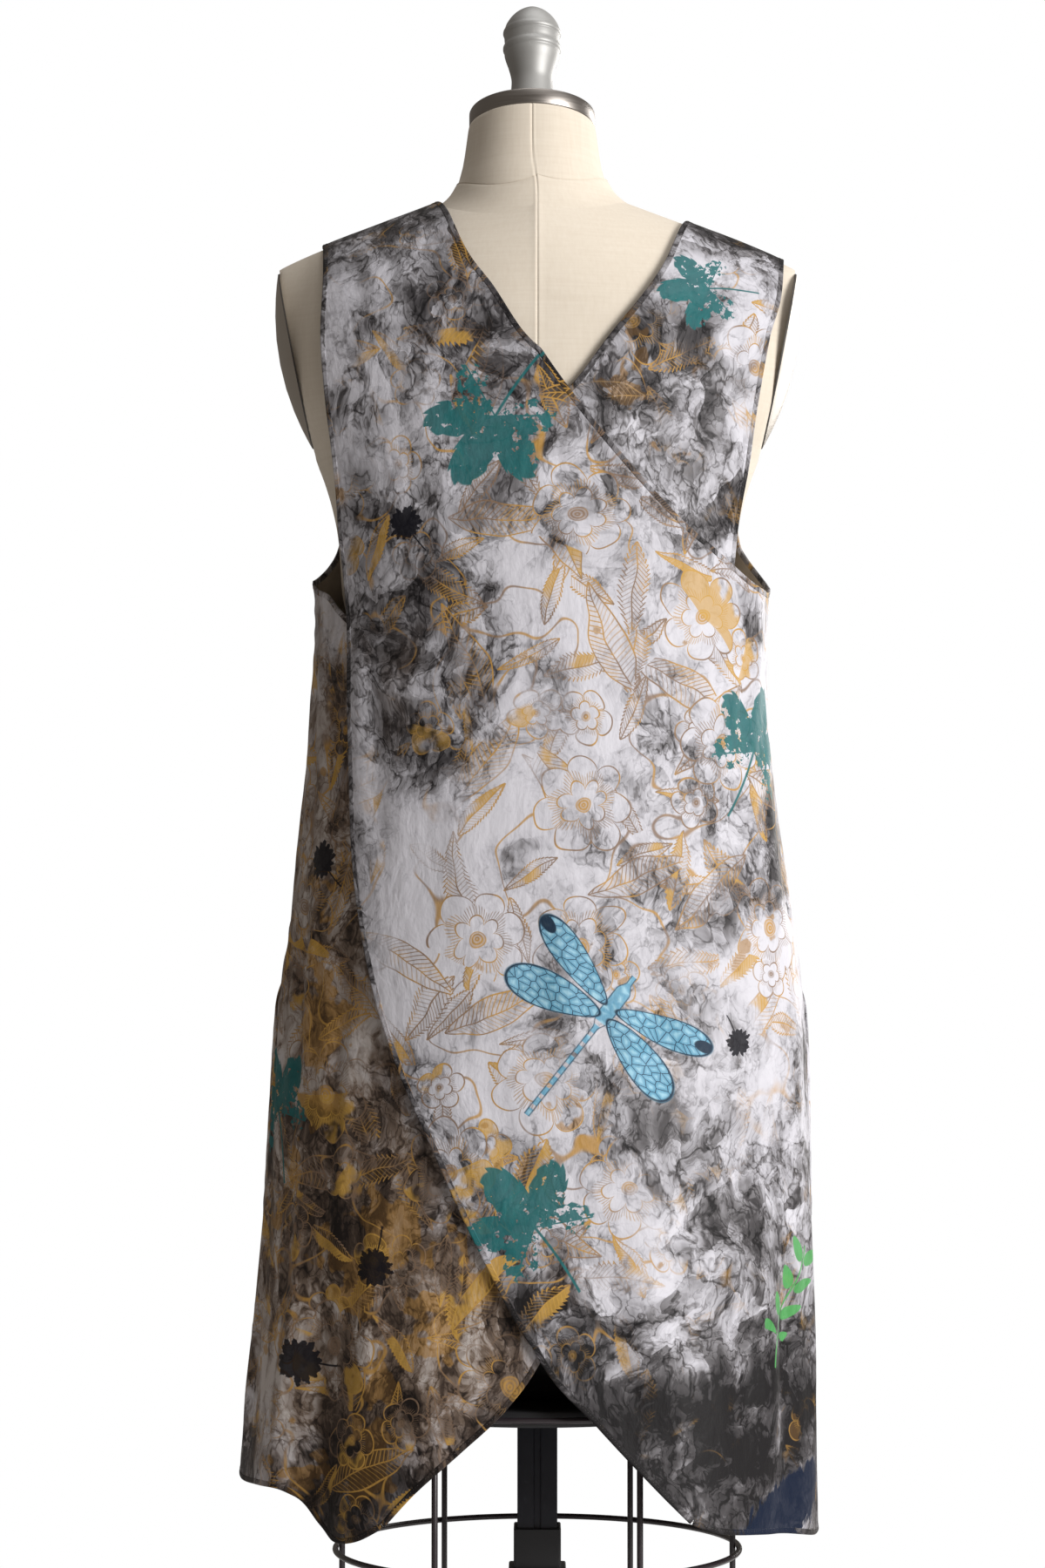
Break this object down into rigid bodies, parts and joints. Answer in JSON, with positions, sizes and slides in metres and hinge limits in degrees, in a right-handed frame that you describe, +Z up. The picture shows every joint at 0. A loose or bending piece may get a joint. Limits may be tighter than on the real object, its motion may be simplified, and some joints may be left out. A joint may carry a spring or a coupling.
{
  "type": "apron dress on a dress form",
  "caption": "Sleeveless knee-length apron dress with a cross-over back and slanted front pockets, worn by a limbless dress form on a telescoping stand.",
  "frame": {"origin": "on the floor, at the column's axis, under the middle of the round base", "axes": "+Z up; the dress's crossed back faces -Y and its front +Y; +X is the wearer's right"},
  "size_m": [0.45, 0.45, 1.5647],
  "materials": {
    "dress_cloth": "printed woven cotton with a slight satin sheen, marbled grey and white with ochre, teal and blue motifs",
    "dress_binding": "narrow turned edge of the same cloth",
    "form_linen": "plain woven natural linen, stretched smooth",
    "arm_plate": "dark brown-grey, low sheen",
    "neck_cap": "brushed, satin",
    "finial": "grey, satin",
    "base_black": "black painted board",
    "cage_wire": "black enamel on steel wire",
    "column_steel": "satin, with two fine grooves",
    "stand_metal": "grey enamel, satin",
    "collar_black": "black, low sheen"
  },
  "bodies": {
    "stand": {"stand_base": "stand_metal", "stand_sleeve": "stand_metal", "stand_collar": "collar_black"},
    "form": {"front_panel": "dress_cloth", "back_panel_outer": "dress_cloth", "back_panel_under": "dress_cloth", "pocket_left": "dress_cloth", "pocket_right": "dress_cloth", "outer_neck_binding": "dress_binding", "outer_wrap_binding": "dress_binding", "outer_hem": "dress_binding", "under_neck_binding": "dress_binding", "under_wrap_binding": "dress_binding", "under_hem": "dress_binding", "front_neck_binding": "dress_binding", "front_arm_binding_left": "dress_binding", "front_arm_binding_right": "dress_binding", "front_hem": "dress_binding", "form_torso": "form_linen", "arm_plate_left": "arm_plate", "arm_plate_right": "arm_plate", "neck_cap": "neck_cap", "finial": "finial", "base_block": "base_black", "base_board": "base_black", "cage_rod_1": "cage_wire", "cage_rod_2": "cage_wire", "cage_rod_3": "cage_wire", "cage_rod_4": "cage_wire", "cage_rod_5": "cage_wire", "cage_rod_6": "cage_wire", "cage_hoop_top": "cage_wire", "cage_hoop_middle": "cage_wire", "cage_hoop_bottom": "cage_wire", "sliding_column": "column_steel"}
  },
  "joints": [
    {"name": "height", "type": "slide", "parent": "stand", "child": "form", "axis": [0, 0, 1], "range_m": [-0.08, 0.15]}
  ]
}
